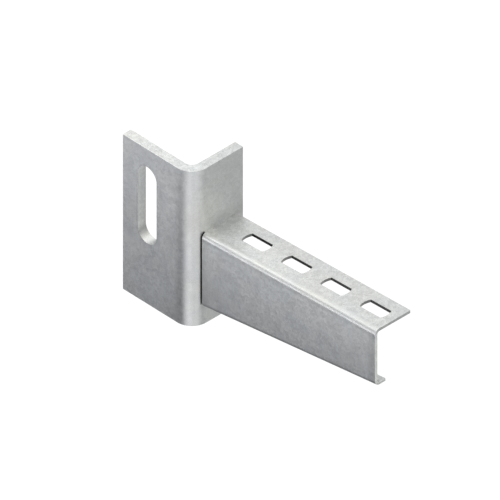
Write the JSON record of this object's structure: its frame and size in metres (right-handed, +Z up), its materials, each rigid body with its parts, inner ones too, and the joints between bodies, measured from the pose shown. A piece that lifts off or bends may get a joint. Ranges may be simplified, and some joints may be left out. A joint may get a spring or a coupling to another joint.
{
  "type": "cantilever bracket",
  "caption": "Cantilever bracket of galvanised steel: an L-bent head plate with a tall bolt slot, and a folded channel arm that rises slightly, with slots along its flange.",
  "frame": {"origin": "centre of the head plate's tall slot, on the side leg's inner face, which lies against a post", "axes": "+X out along the arm, level, +Y square to the side leg towards the post's body, +Z up"},
  "size_m": [0.1534, 0.0316, 0.085],
  "materials": {
    "galvanised_plate": "hot-dip galvanised, dull with a fine spangle",
    "galvanised_sheet": "hot-dip galvanised, dull with a fine spangle",
    "weld_metal": "weld metal under zinc"
  },
  "bodies": {
    "root": {"head_plate": "galvanised_plate", "arm": "galvanised_sheet", "weld_flange": "weld_metal", "weld_web": "weld_metal"}
  },
  "joints": []
}
